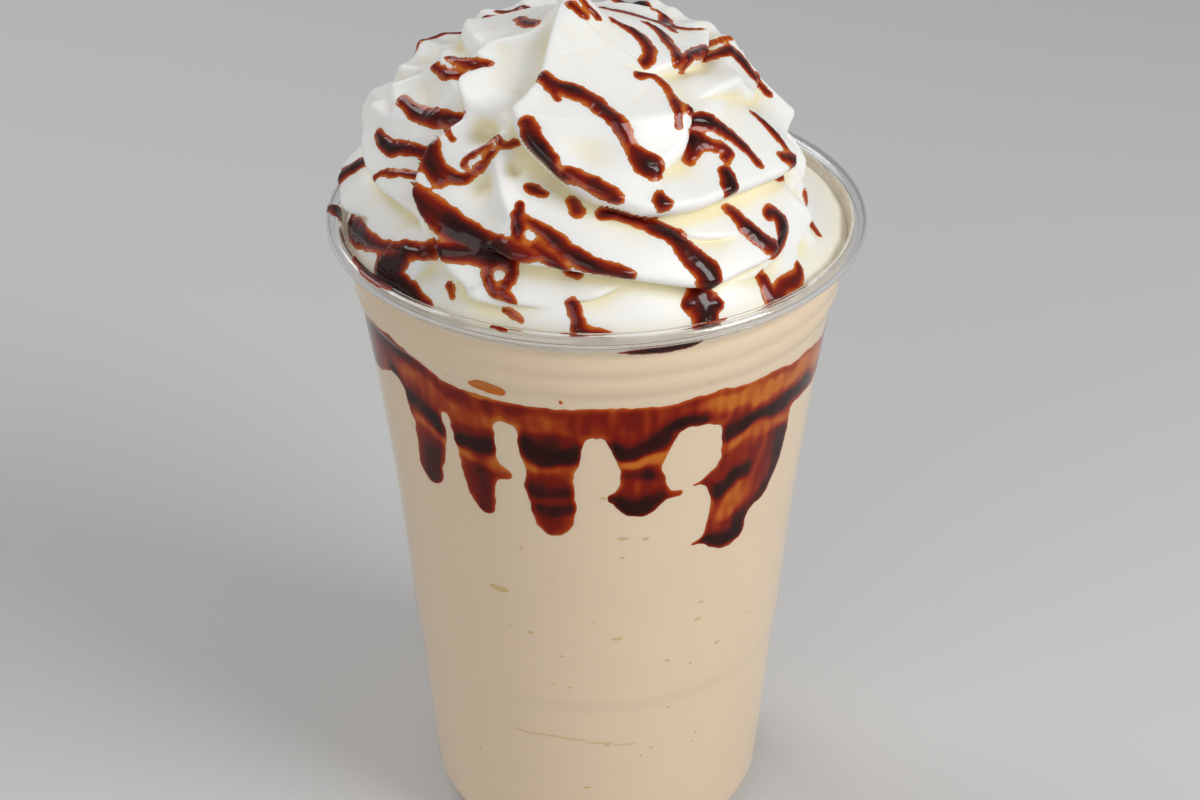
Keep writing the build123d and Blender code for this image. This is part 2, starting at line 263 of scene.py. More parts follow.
# Darker ropes and lighter places in the wall's syrup, with painted shade at its top left and by the cup's
# left side: a route with widths, and how much deeper the colour is
SHADES = [
    ([(-148, -22, 2), (-143, -25, 2.2), (-138, -26, 2.4), (-134, -26.6, 2.4), (-129, -28, 2)], 0.55),
    ([(-126, -29.2, 2), (-122, -29.4, 2.6), (-118, -29.2, 2.6), (-114, -27.8, 1.8)], 0.55),
    ([(-108, -27, 1.8), (-105, -28.4, 2.8), (-101, -28.8, 3.2), (-97, -28.6, 2.8), (-94, -27.2, 1.8)], 0.55),
    ([(-105, -25.5, 3), (-97, -25.5, 3)], 0.22),
    ([(-88, -26, 2), (-82, -27.2, 3), (-78, -26.4, 2.6), (-73, -24.3, 2.2), (-69, -22.6, 2),
      (-64, -21.8, 1.6)], 0.55),
    ([(-59, -27.3, 1.8), (-53, -26.8, 2), (-48, -26.2, 1.8), (-42, -27, 1.8), (-35, -26.6, 2),
      (-24, -27.2, 2.6)], 0.55),
    # Painted shade along the band's top at the left
    ([(-166, -19, 3), (-153, -16, 2.6), (-146, -15.4, 2.2), (-136, -16.2, 1.6)], 0.3),
    # Painted shade by the cup's left side
    ([(-170, -24, 3), (-162, -26, 2)], 0.35),
    ([(-136, -35, 3), (-137, -41, 4)], 0.4),
    ([(-120, -34, 3), (-119, -43, 3)], 0.25),
    ([(-106, -36.2, 2), (-97, -36.2, 2)], 0.35),
    ([(-106, -40.8, 1.8), (-97, -40.6, 1.8)], 0.4),
    ([(-86, -38.6, 2), (-80, -40.2, 4), (-75, -39.2, 2.2)], 0.6),
    ([(-84, -31.6, 1.2), (-77, -32.4, 2)], 0.3),
    ([(-61, -38.6, 1.6), (-56, -40.4, 2.6), (-53, -38.4, 2.6), (-49, -37.2, 2)], 0.55),
    ([(-36, -34, 3), (-35, -41, 3.6), (-37, -44.5, 3.4), (-42, -47.4, 3), (-49, -48.8, 2.4)], 0.45),
    ([(-60, -51.6, 1.4), (-54, -52.2, 2.4), (-49, -52.2, 2.4)], 0.6),
    ([(-141, -29.2, 1.2), (-131, -31, 1.4)], -0.2),
    ([(-126, -32.4, 1.4), (-114, -31.8, 2.4)], -0.28),
    ([(-108, -31.8, 1.6), (-95, -31.4, 1.8)], -0.25),
    ([(-85, -30.2, 2), (-73, -29.4, 2.2)], -0.38),
    ([(-57, -30, 2.4), (-50, -29.4, 2.4), (-42, -30.2, 2.4), (-34, -31, 2)], -0.25),
    ([(-49, -41.5, 3), (-54, -45.5, 3.6)], -0.3),
    ([(-142, -19.5, 2.4), (-133, -21, 2.6), (-122, -23.4, 3.4), (-110, -22, 2.4), (-99, -21.8, 2.6)], -0.2),
    ([(-62, -19.8, 2.4), (-44, -21.5, 3.6), (-30, -21.6, 4), (-16, -23.8, 3.6)], -0.34),
    ([(-119.5, -15.4, 3), (-111.5, -15.3, 3)], -0.6),
    ([(-98, -16.6, 1.2)], -0.4),
]

# Bubbles against the wall: degrees round, height above the rim, half length and half height in millimetres
BUBBLES = [
    (-118, -62, 2.1, 0.7), (-83, -47, 1.1, 0.35), (-77, -47.5, 0.7, 0.3), (-83, -51.5, 0.4, 0.3),
    (-84, -71, 1, 0.35), (-93, -109.5, 0.8, 0.3), (-113, -97, 2.6, 0.16), (-105, -96.6, 2.8, 0.14),
    (-97, -96.9, 2.8, 0.14), (-89, -97.6, 2.8, 0.14), (-81, -98.3, 2.4, 0.14), (-60, -70, 0.9, 0.35),
]
BUBBLE_DEPTH = 0.07

MELT_AND_SHADE = 0.5  # how yellow the cream is where it meets the wall: melted cream there, with painted shade between the cream and the wall
DENT = 1.0  # how far below its surroundings a dent lies, in millimetres, when its painted shade is full
EDGE_ROLL = 2.0  # how far in from a fold's edge its rounding reaches
OVERHANG = 0.35  # how far a fold's edge slides out, for each millimetre that it stands out
CREST_ROUNDING = 0.6  # how far from a crest's line its top is rounded
CREASE_FADE = 9  # how far from its ends a crease has its full height
RIDGE_FADE = 7  # and a crest
ROUTE_STEP = 0.4  # how far apart the places along a route or a stroke are
BATCH = 4000  # how many points are measured against a route at a time
RIM_CLEARANCE = 1.0  # how far the cream stays inside the rim's outside
WALL_CLEARANCE = 0.1  # and clear of the wall's inside
TIP_CLEARANCE = 0.05  # how far the tip stays under the frame's
COAT_EDGE = 0.02  # how far under its skin the edge of a coat of syrup lies
FLATNESS = 0.004  # how far a point may lie off a straight run of the cup's outline and still be left out
LONGEST_RUN = 12
# How many columns of faces go round
CUP_COLUMNS = 260
SHAKE_COLUMNS = 400
WALL_COLUMNS = 840
NECK_COLUMNS = 1200
RIM_COLUMNS = 900

# How uneven the edge of each coat is: sizes and amounts in millimetres
DRIZZLE_EDGE = [(2.6, 0.34), (1.1, 0.26), (0.6, 0.10)]
RESIDUE_EDGE = [(9.0, 0.7), (2.5, 0.4)]
NECK_SMEAR_EDGE = [(1.5, 0.25)]
RIM_SMEAR_EDGE = [(1.5, 0.3)]
WALL_SYRUP_EDGE = [(5.0, 0.55), (1.8, 0.30)]

# The stage, in metres and watts. Each lamp has its place, size and power.
FLOOR_SIZE = 4.0
LENS = 70.17
CAMERA_PLACE = (0.00063, -0.380, RIM_TOP * MM + 0.1935)
CAMERA_TILT = 90 - 31.81
LAMPS = {
    "key": ((0.60, -0.35, 0.55), 0.40, 4.35),
    "fill": ((-0.45, -0.75, 0.40), 0.70, 2.1),
    "back": ((-0.45, 0.45, 0.75), 0.45, 2.4),
}
LAMP_TARGET = Vector((0, 0, 0.1))
SKY_STRENGTH = 0.28


# ---------------------------------------------------------------- materials


class Socket:
    """A node's output. Arithmetic on it adds Math nodes."""

    def __init__(self, shader, output):
        self.shader = shader
        self.output = output

    def maths(self, operation, first, second):
        return self.shader.node("ShaderNodeMath", {"operation": operation}, first, second)

    def __add__(self, other):
        return self.maths("ADD", self, other)

    def __sub__(self, other):
        return self.maths("SUBTRACT", self, other)

    def __rsub__(self, other):
        return self.maths("SUBTRACT", other, self)

    def __mul__(self, other):
        return self.maths("MULTIPLY", self, other)

    __radd__ = __add__
    __rmul__ = __mul__


class Shader:
    """A material's node tree, built one call at a time."""

    def __init__(self, name):
        self.material = bpy.data.materials.new(name)
        self.material.use_nodes = True
        self.tree = self.material.node_tree
        self.tree.nodes.clear()

    def node(self, kind, settings=None, *values, output=0, **named):
        """Adds a node: its settings first, then its sockets by place or, with _ for a space, by name."""
        node = self.tree.nodes.new(kind)
        for key, value in (settings or {}).items():
            if key == "stops":
                self.set_stops(node.color_ramp, value)
            else:
                setattr(node, key, value)
        for place, value in enumerate(values):
            self.feed(node.inputs[place], value)
        for name, value in named.items():
            self.feed(node.inputs[name.replace("_", " ")], value)
        return Socket(self, node.outputs[output])

    def feed(self, target, value):
        if isinstance(value, Socket):
            self.tree.links.new(value.output, target)
        else:
            target.default_value = value

    def set_stops(self, ramp, stops):
        while len(ramp.elements) < len(stops):
            ramp.elements.new(1.0)
        for element, (place, colour) in zip(ramp.elements, stops):
            element.position = place
            element.color = colour

    def mix(self, factor, first, second):
        """A mix of two colours."""
        node = self.tree.nodes.new("ShaderNodeMix")
        node.data_type = "RGBA"
        for name, value in (("Factor_Float", factor), ("A_Color", first), ("B_Color", second)):
            self.feed(next(s for s in node.inputs if s.identifier == name), value)
        return Socket(self, next(s for s in node.outputs if s.identifier == "Result_Color"))

    def place(self):
        """Object coordinates."""
        return self.node("ShaderNodeTexCoord", output=3)

    def noise(self, scale, detail=2.0, roughness=0.5):
        """Noise with a scale in features to the metre."""
        named = {"Vector": self.place(), "Scale": scale, "Detail": detail, "Roughness": roughness}
        return self.node("ShaderNodeTexNoise", {"noise_dimensions": "3D"}, **named)

    def attribute(self, name):
        return self.node("ShaderNodeAttribute", {"attribute_name": name}, output=2)

    def bump(self, height, strength, distance, **named):
        return self.node("ShaderNodeBump", Height=height, Strength=strength, Distance=distance, **named)

    def principled(self, **named):
        return self.node("ShaderNodeBsdfPrincipled", **named)

    def clear(self, clearness):
        return self.node("ShaderNodeBsdfTransparent", Color=opaque([clearness] * 3))

    def blend(self, factor, first, second):
        """A mix of two surfaces."""
        return self.node("ShaderNodeMixShader", None, factor, first, second)

    def finish(self, surface):
        """Shows the surface, and gives the material."""
        last = self.tree.nodes.new("ShaderNodeOutputMaterial")
        self.feed(last.inputs["Surface"], surface)
        return self.material


def opaque(colour, share=1.0):
    """A colour at a share of its brightness, with its alpha."""
    return (*[part * share for part in colour], 1.0)


def clear_plastic(look):
    """Thin clear sheet, glossier where it is rolled. Light passes straight through it to what it holds."""
    shader = Shader("clear_plastic")
    sheet, rim = [
        shader.principled(
            Base_Color=opaque(look.plastic_colour), Roughness=roughness, IOR=index, Transmission_Weight=1.0
        )
        for roughness, index in ((0.12, 1.2), (0.04, 1.5))
    ]
    height = shader.node("ShaderNodeSeparateXYZ", None, shader.place(), output=2)
    rolled = height.maths("GREATER_THAN", height, (RIM_TOP - 2.2 * CURL_RADIUS) * MM)
    # Outputs 1 and 2 are the shadow and the diffuse ray.
    passing = shader.node("ShaderNodeLightPath", output=1) + shader.node("ShaderNodeLightPath", output=2)
    return shader.finish(shader.blend(passing, shader.blend(rolled, sheet, rim), shader.clear(0.96)))


def shake_drink(name, colour):
    """Smooth pale drink with faint mottling."""
    shader = Shader(name)
    surface = shader.principled(
        Base_Color=shader.mix(shader.noise(60, 3), opaque(colour), opaque(colour, 0.95)),
        Roughness=0.38,
        Specular_IOR_Level=0.12,
        Subsurface_Weight=0.25,
        Subsurface_Radius=(0.004, 0.0025, 0.0012),
        Subsurface_Scale=1.0,
        Normal=shader.bump(shader.noise(900, 2), 0.12, 0.0003),
    )
    return shader.finish(surface)


def residue_coat(look):
    """The drink's thin milky coat, which lets some light through."""
    shader = Shader("residue")
    milky = shader.principled(Base_Color=opaque(look.residue_colour), Roughness=0.5, Specular_IOR_Level=0.1)
    cover = shader.noise(140, 3) * 0.7 + 0.25
    return shader.finish(shader.blend(cover, shader.clear(1.0), milky))


def syrup(look, name, roughness, gloss, ripples):
    """Dark syrup that turns orange-brown where it is thin."""
    shader = Shader(name)
    stops = (
        (0.10, opaque(look.syrup_edge)),
        (0.26, opaque(look.syrup_thin)),
        (0.46, opaque(look.syrup_middle)),
        (0.80, opaque(look.syrup_deep)),
        (1.0, opaque(look.syrup_deep, 0.4)),
    )
    thick = shader.attribute("thick") + (shader.noise(260, 3, 0.6) - 0.5) * 0.22
    surface = shader.principled(
        Base_Color=shader.node("ShaderNodeValToRGB", {"stops": stops}, thick),
        Roughness=roughness,
        Specular_IOR_Level=gloss,
        Normal=shader.bump(shader.noise(420, 2), ripples, 0.0003),
    )
    return shader.finish(surface)


def whipped(look):
    """White cream, with faintly yellow painted shade in its hollows, and a soft inner glow."""
    shader = Shader("cream")
    soft = shader.bump(shader.noise(160, 3), 0.10, 0.0010)
    surface = shader.principled(
        # Painted shade: this attribute turns the cream towards a yellowish shade colour in its folds, dents
        # and beside the wall.
        Base_Color=shader.mix(
            shader.attribute("hollow"), opaque(look.cream_colour), opaque(look.cream_shade_colour)
        ),
        Roughness=0.42,
        Subsurface_Weight=0.35,
        Subsurface_Radius=(0.0028, 0.0024, 0.0018),
        Subsurface_Scale=1.0,
        Normal=shader.bump(shader.noise(1500, 3), 0.10, 0.0002, Normal=soft),
    )
    return shader.finish(surface)


# ---------------------------------------------------------------- meshes


def add_object(name, data):
    """A new object in the scene, at the origin."""
    item = bpy.data.objects.new(name, data)
    bpy.context.scene.collection.objects.link(item)
    return item


def add_piece(name, mesh, replaced=None):
    """A smooth piece that rides on the one body."""
    mesh.polygons.foreach_set("use_smooth", [True] * len(mesh.polygons))
    piece = add_object(name, mesh)
    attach(piece, BODY)
    if replaced:
        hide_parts(replaced)


def make_mesh(name, points, faces, material):
    """A mesh from points in millimetres and the corners of its faces."""
    mesh = bpy.data.meshes.new(name)
    mesh.from_pydata((np.asarray(points) * MM).tolist(), [], [tuple(face) for face in faces])
    mesh.validate()
    mesh.materials.append(material)
    return mesh


def set_attribute(mesh, name, values):
    """Gives each point of a mesh a number or a vector."""
    values = np.asarray(values, np.float32)
    kind, key = ("FLOAT", "value") if values.ndim == 1 else ("FLOAT_VECTOR", "vector")
    mesh.attributes.new(name, kind, "POINT").data.foreach_set(key, values.reshape(-1))


def ring_faces(rows, columns):
    """Quads of a grid that closes round on itself, seen from outside when the rows run up."""
    row, column = np.meshgrid(np.arange(rows - 1), np.arange(columns), indexing="ij")
    after = (column + 1) % columns
    low, high = row * columns, (row + 1) * columns
    return np.stack([low + column, low + after, high + after, high + column], -1).reshape(-1, 4)


def rings(radii, heights, columns):
    """A grid of points [row, column] on circles round the axis."""
    angles = np.radians(np.arange(columns) * 360 / columns)
    radii, heights = np.asarray(radii)[:, None], np.asarray(heights)[:, None]
    return np.stack([radii * np.cos(angles), radii * np.sin(angles), heights + 0 * angles], -1)


def turned(outline, columns):
    """Points and faces of an outline, from the axis to the axis, turned about Z."""
    low, *middle, high = outline
    radii, heights = np.transpose(middle)
    return close_poles(rings(radii, heights, columns), low[1], high[1])


def close_poles(grid, low, high):
    """Adds the points on the axis at the lowest and highest height, with their fans, to a ring grid."""
    rows, columns = grid.shape[:2]
    count = rows * columns
    faces = [tuple(face) for face in ring_faces(rows, columns)]
    points = np.vstack([grid.reshape(-1, 3), (0, 0, low), (0, 0, high)])
    for column in range(columns):
        after = (column + 1) % columns
        faces.append((after, column, count))
        faces.append((count - columns + column, count - columns + after, count + 1))
    return points, faces


def grid_normals(points):
    """Outward unit normals of a grid of points [row, column] that closes round on itself."""
    round_way = np.roll(points, -1, 1) - np.roll(points, 1, 1)
    normals = np.cross(round_way, np.gradient(points, axis=0))
    return normals / np.maximum(np.linalg.norm(normals, axis=-1, keepdims=True), 1e-9)


def smooth_step(value):
    """Rises smoothly from 0 to 1 as the value does."""
    value = np.clip(value, 0, 1)
    return value * value * (3 - 2 * value)


def blurred(field, rows, columns):
    """A grid's values averaged over so many rows and columns each way, three times over."""
    for _ in range(3):
        padded = np.pad(field, ((rows, rows), (0, 0)), "edge")
        field = sum(padded[shift : shift + len(field)] for shift in range(2 * rows + 1)) / (2 * rows + 1)
        field = sum(np.roll(field, shift, 1) for shift in range(-columns, columns + 1)) / (2 * columns + 1)
    return field


def drifted(field, shift):
    """A grid's values, each taken from so many rows away."""
    place = np.clip(np.arange(len(field))[:, None] + shift, 0, len(field) - 1.001)
    low = place.astype(int)
    share = place - low
    return np.take_along_axis(field, low, 0) * (1 - share) + np.take_along_axis(field, low + 1, 0) * share


def noise_field(points, size, seed):
    """Smooth noise from about -1 to 1, with features of a size in millimetres."""
    shift = Vector((seed * 7.3, seed * 3.1, seed * 5.7))
    flat = points.reshape(-1, 3) / size
    values = [noise.noise(Vector(point) + shift) for point in flat.tolist()]
    return np.array(values).reshape(points.shape[:-1])


def spline(controls):
    """Points along a smooth curve through the controls, which may have any number of values."""
    controls = np.asarray(controls, float)
    padded = np.vstack([2 * controls[0] - controls[1], controls, 2 * controls[-1] - controls[-2]])
    pieces = []
    for before, start, end, after in zip(padded, padded[1:], padded[2:], padded[3:]):
        count = max(2, int(np.linalg.norm((end - start)[:2]) / ROUTE_STEP))
        t = np.linspace(0, 1, count, endpoint=False)[:, None]
        pieces.append(
            0.5 * (2 * start + (end - before) * t + (2 * before - 5 * start + 4 * end - after) * t**2
                   + (3 * start - 3 * end + after - before) * t**3)
        )
    pieces.append(controls[-1:])
    return np.vstack(pieces)


def near_points(points, path, reach):
    """Which points lie within reach of the box round a path, and the slices that part them into batches."""
    near = np.flatnonzero(((points > path.min(0) - reach) & (points < path.max(0) + reach)).all(1))
    return near, [slice(start, start + BATCH) for start in range(0, len(near), BATCH)]


# ---------------------------------------------------------------- the cup


def measured(starts, direction, axis):
    """Where rays from the starts, in millimetres, meet the frame's cup, along one axis."""
    found = []
    for start in starts:
        hit, place, _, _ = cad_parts["cup"].ray_cast(Vector(start) * MM, Vector(direction))
        if not hit:
            raise RuntimeError(f"the cup isn't met from {start} mm")
        found.append(place[axis] / MM)
    return np.array(found)


WALL_HEIGHTS = np.arange(BASE_CORNER, RIM_TOP - 2 * CURL_RADIUS, 0.2)
WALL_RADII = measured([(2 * RIM_RADIUS, 0, height) for height in WALL_HEIGHTS], (-1, 0, 0), 0)
BASE_RADII = np.arange(0.05, BASE_CORNER_CENTRE + 1, 0.5)
BASE_HEIGHTS = measured([(radius, 0, -10) for radius in BASE_RADII], (0, 0, 1), 2)


def wall_radius(height):
    """The outside of the cup's wall at a height, in millimetres."""
    return np.interp(height, WALL_HEIGHTS, WALL_RADII)


def wall_outline(inset, step, top):
    """The cup's outside from the middle of its base up to a height, moved in by inset."""
    flat = np.arange(0, BASE_CORNER_CENTRE, 2 * step)
    turn = np.radians(np.linspace(-90, 0, 14))
    side = np.linspace(BASE_CORNER, top, int((top - BASE_CORNER) / step))[1:]
    radii = [flat, BASE_CORNER_CENTRE + BASE_CORNER * np.cos(turn), wall_radius(side)]
    heights = [np.interp(flat, BASE_RADII, BASE_HEIGHTS), BASE_CORNER + BASE_CORNER * np.sin(turn), side]
    outline = np.stack([np.concatenate(radii), np.concatenate(heights)], 1)
    along = np.gradient(outline, axis=0)
    inward = np.stack([-along[:, 1], along[:, 0]], 1)
    moved = outline + inset * inward / np.linalg.norm(inward, axis=1, keepdims=True)
    moved[0, 0] = 0
    moved[-1, 1] = top
    return moved


def thinned(outline):
    """The outline without the points that lie on a straight run."""
    kept = [outline[0]]
    for point, after in zip(outline[1:], outline[2:]):
        run = after - kept[-1]
        off = abs(run[0] * (point - kept[-1])[1] - run[1] * (point - kept[-1])[0]) / np.linalg.norm(run)
        if off > FLATNESS or np.linalg.norm(run) > LONGEST_RUN:
            kept.append(point)
    return np.array([*kept, outline[-1]])


def make_cup(look):
    """The clear sheet, revolved as one smooth shell with its rolled rim."""
    shoulder = RIM_TOP - 2 * CURL_RADIUS - 0.1
    neck = RIM_TOP - 2.3
    centre = np.array([RIM_RADIUS - CURL_RADIUS, RIM_TOP - CURL_RADIUS])
    turn = np.radians(np.linspace(180, CURL_END, 44))
    ring = np.stack([np.cos(turn), np.sin(turn)], 1)
    outline = [
        thinned(wall_outline(0, 0.4, shoulder)),
        [(SHEET_RADIUS, neck)],
        centre + (CURL_RADIUS - WALL) * ring,
        (centre + CURL_RADIUS * ring)[::-1],
        [(SHEET_RADIUS - WALL, neck)],
        thinned(wall_outline(WALL, 0.4, shoulder))[::-1],
    ]
    mesh = make_mesh("cup_shell", *turned(np.vstack(outline), CUP_COLUMNS), clear_plastic(look))
    add_piece("cup_shell", mesh, "cup")


# ---------------------------------------------------------------- the shake


def make_shake(look):
    """The drink, from the cup's base up to its level."""
    outline = [*wall_outline(WALL / 2, 0.6, LEVEL), (0, LEVEL)]
    mesh = make_mesh("shake_fill", *turned(outline, SHAKE_COLUMNS), shake_drink("shake", look.shake_colour))
    add_piece("shake_fill", mesh, "milkshake")


def scatter_tree():
    """Puts a round bubble at every point, turned and sized by the point's own attributes."""
    tree = bpy.data.node_groups.new("bubbles", "GeometryNodeTree")
    tree.interface.new_socket("Geometry", in_out="INPUT", socket_type="NodeSocketGeometry")
    detail = tree.interface.new_socket("Detail", in_out="INPUT", socket_type="NodeSocketInt")
    material = tree.interface.new_socket("Material", in_out="INPUT", socket_type="NodeSocketMaterial")
    tree.interface.new_socket("Geometry", in_out="OUTPUT", socket_type="NodeSocketGeometry")

    def add(kind, data_type=None, **inputs):
        """Adds a node, sets or joins its inputs, and gives its outputs."""
        node = tree.nodes.new(kind)
        if data_type:
            node.data_type = data_type
        for name, value in inputs.items():
            if isinstance(value, bpy.types.NodeSocket):
                tree.links.new(value, node.inputs[name])
            else:
                node.inputs[name].default_value = value
        return node.outputs

    entry = add("NodeGroupInput")
    ball = add("GeometryNodeMeshIcoSphere", Subdivisions=entry["Detail"])["Mesh"]
    shape = {"Points": entry["Geometry"], "Instance": ball}
    for socket, name in (("Rotation", "facing"), ("Scale", "size")):
        shape[socket] = add("GeometryNodeInputNamedAttribute", "FLOAT_VECTOR", Name=name)["Attribute"]
    placed = add("GeometryNodeInstanceOnPoints", **shape)["Instances"]
    real = add("GeometryNodeRealizeInstances", Geometry=placed)["Geometry"]
    painted = add("GeometryNodeSetMaterial", Geometry=real, Material=entry["Material"])["Geometry"]
    add("NodeGroupOutput", Geometry=painted)
    return tree, detail.identifier, material.identifier


def make_bubbles(look):
    """Flat bubbles pressed against the wall, scattered with a fixed seed."""
    pick = random.Random(31)
    bubbles = list(BUBBLES)
    for _ in range(look.small_bubbles):
        size = pick.uniform(0.14, 0.32)
        bubbles.append((pick.uniform(-180, 180), pick.uniform(-120, -12), size * pick.uniform(1, 2.2), size))
    degrees, height, half_length, half_height = np.transpose(bubbles)
    angle = np.radians(degrees)
    radius = wall_radius(RIM_TOP + height) - WALL / 2
    places = np.stack([radius * np.cos(angle), radius * np.sin(angle), RIM_TOP + height], 1) * MM
    seeds = bpy.data.meshes.new("bubble_seeds")
    seeds.from_pydata(places.tolist(), [], [])
    set_attribute(seeds, "facing", np.stack([0 * angle, 0 * angle, angle + math.pi / 2], 1))
    set_attribute(seeds, "size", np.stack([half_length, 0 * angle + BUBBLE_DEPTH, half_height], 1) * MM)
    host = add_object("bubble_seeds", seeds)
    tree, detail, material = scatter_tree()
    modifier = host.modifiers.new("bubbles", "NODES")
    modifier.node_group = tree
    modifier[detail] = 3
    modifier[material] = shake_drink("bubble", look.shake_pit_colour)
    mesh = bpy.data.meshes.new_from_object(host.evaluated_get(bpy.context.evaluated_depsgraph_get()))
    host.modifiers.clear()
    bpy.data.objects.remove(host)
    add_piece("bubbles", mesh)


# ---------------------------------------------------------------- the cream


def back_pleats():
    """The crests round the back: their routes lean as the swirl does, and no two are alike."""
    crests = []
    for i in range(BACK_PLEATS):
        start = BACK_FROM + (BACK_TO - BACK_FROM) * (i + 0.5) / BACK_PLEATS
        sway = 4 * math.sin(2.1 * i + 0.7)
        rise = 3 * math.sin(1.3 * i)
        low = [(start - 6, 1), (start - 2 + sway, 9)]
        high = [(start + 4, 16 + rise), (start + 12 - sway, 24), (start + 22, 30)]
        crests.append((low + high, 3.0 + 0.9 * math.cos(1.9 * i), 3.6))
    return crests


class Swirl:
    """The cream's surface as a grid of rows from the shake to the tip and columns round the axis."""

    rows = 200
    columns = 480
    base_radius = 45.4
    dome_height = 38.5
    dome_power = 1.5  # 1 is a round dome, and more is a pointed one
    tip_offset = (-3.0, -4.0)

    def __init__(self):
        self.outline, self.length = self.make_outline()
        self.shares = np.linspace(0, 1, self.rows + 1)[:-1]
        degrees = np.arange(self.columns) * 360 / self.columns
        self.calm = self.on_dome(np.where(degrees > 180, degrees - 360, degrees), self.shares[:, None])
        self.calm_normals = grid_normals(self.calm)
        self.row_heights = np.interp(self.shares * self.length[-1], self.length, self.outline[:, 1])

    def make_outline(self):
        """Radius and height above the rim along the calm dome, and the distance along it."""
        side = np.linspace(LEVEL - RIM_TOP, -3.4, 4)
        wall = np.stack([wall_radius(RIM_TOP + side) - WALL - WALL_CLEARANCE, side], 1)
        turn = np.linspace(0.01, math.pi / 2, 400)
        radii = self.base_radius * np.cos(turn) ** self.dome_power
        outline = np.vstack([wall, np.stack([radii, self.dome_height * np.sin(turn)], 1)])
        return outline, run_along(outline)

    def on_dome(self, degrees, share):
        """The point on the calm dome at an angle and a share of the way up."""
        degrees, share = np.broadcast_arrays(degrees, share)
        height = np.interp(share * self.length[-1], self.length, self.outline[:, 1])
        radius = np.interp(share * self.length[-1], self.length, self.outline[:, 0])
        # Above the rim the dome is slimmer at its sides than at the front.
        slim = np.interp((degrees + 90) % 360 - 90, SIDE_ANGLES, SIDE_RADII) / SIDE_RADII[0]
        radius = radius * (1 - (1 - slim) * smooth_step((height + 4.0) / 7))
        lean = (np.maximum(height, 0) / self.dome_height) ** 2
        x = radius * np.cos(np.radians(degrees)) + self.tip_offset[0] * lean
        y = radius * np.sin(np.radians(degrees)) + self.tip_offset[1] * lean
        return np.stack([x, y, RIM_TOP + height], -1)

    def at_height(self, degrees, height):
        """The point on the calm dome at an angle and a height above the rim."""
        return self.on_dome(degrees, np.interp(height, self.outline[:, 1], self.length) / self.length[-1])

    def distances(self, controls, reach):
        """For the grid points within reach of a route: which they are, their distance from it (above
        zero on the upper side of a route that runs towards larger angles), their distance from its
        ends, and the direction to the upper side.
        """
        route = self.at_height(*spline(controls).T)
        run = run_along(route)
        near, batches = near_points(self.calm.reshape(-1, 3), route, reach)
        points = self.calm.reshape(-1, 3)[near]
        nearest = np.empty(len(near), int)
        for part in batches:
            nearest[part] = ((points[part][:, None] - route) ** 2).sum(-1).argmin(1)
        offset = points - route[nearest]
        along = np.gradient(route, axis=0)[nearest]
        along /= np.linalg.norm(along, axis=1, keepdims=True)
        slip = (offset * along).sum(1)
        inner = (nearest > 0) & (nearest < len(route) - 1)
        offset = np.where(inner[:, None], offset - along * slip[:, None], offset)
        up = np.cross(self.calm_normals.reshape(-1, 3)[near], along)
        distance = np.linalg.norm(offset, axis=1) * np.sign((up * offset).sum(1))
        place = run[nearest] + slip
        return near, distance, np.minimum(place, run[-1] - place), up

    def shaped(self, relief):
        """The grid with its folds at a share of their height, and the painted shade of each point in the
        folds, the dents and beside the wall.
        """
        flat = self.calm.reshape(-1, 3)
        lift = np.zeros(len(flat))
        hollow = np.zeros(len(flat))
        slide = np.zeros((len(flat), 3))
        uneven = noise_field(flat, 14, 1)
        for controls, lip, sink, width in CREASES + BACK_CREASES:
            near, offset, ends, up = self.distances(controls, 5 * width)
            fade = smooth_step(ends / CREASE_FADE) * (1 + 0.35 * uneven[near])
            # The upper side rounds over to its edge and slides out over the lower one, which lies in a dip
            # with painted shade.
            above = np.maximum(offset, 0)
            roll = np.sqrt(1 - (1 - np.minimum(above / EDGE_ROLL, 1)) ** 2)
            fold = np.where(offset > 0, (lip + sink) * roll - sink, -sink)
            lift[near] += fade * fold * np.exp(-np.abs(offset) / width)
            slide[near] -= up * (fade * OVERHANG * lip * roll * np.exp(-above / (1.2 * EDGE_ROLL)))[:, None]
            # Painted shade on the lower side, under the fold that hangs over it.
            hollow[near] += fade * (offset < 0) * np.exp(-np.abs(offset) / 2.0)
        for controls, height, width in RIDGES + back_pleats():
            near, offset, ends, _ = self.distances(controls, 5 * width)
            rounded = np.sqrt(offset**2 + CREST_ROUNDING**2) - CREST_ROUNDING
            fade = smooth_step(ends / RIDGE_FADE) * (1 + 0.3 * uneven[near])
            # A crest has a shallow, wider dip on both sides.
            crest = np.exp(-rounded / width) - 0.35 * np.exp(-np.abs(offset) / (2.5 * width))
            lift[near] += fade * height * crest
        for degrees, height, radius, amount in SWELLS:
            gap = np.linalg.norm(flat - self.at_height(degrees, height), axis=1)
            lift += amount * np.exp(-((gap / radius) ** 2))
        shape = self.calm.shape[:2]
        lift = relief * lift.reshape(shape)
        height = self.calm[..., 2] - RIM_TOP
        # Painted shade in the dents: the further a point lies below its blurred surroundings, the more shade
        # colour it gets.
        dent_shade = np.clip((blurred(lift, 6, 4) - lift) / DENT, 0, 1)
        # Melted cream and painted shade where the cream meets the wall, fading out just above the rim.
        melt_and_shade = MELT_AND_SHADE * (1 - smooth_step((height + 2.5) / 4))
        # Painted shade: under the creases, in the dents and beside the wall, summed into one share from 0 to
        # 1.
        hollow = np.clip(0.6 * hollow.reshape(shape) + dent_shade + melt_and_shade, 0, 1)
        moved = self.calm_normals * lift[..., None] + relief * slide.reshape(self.calm.shape)
        points = self.calm + moved * smooth_step((height + 1.5) / 6)[..., None]
        return self.held_in(points), hollow

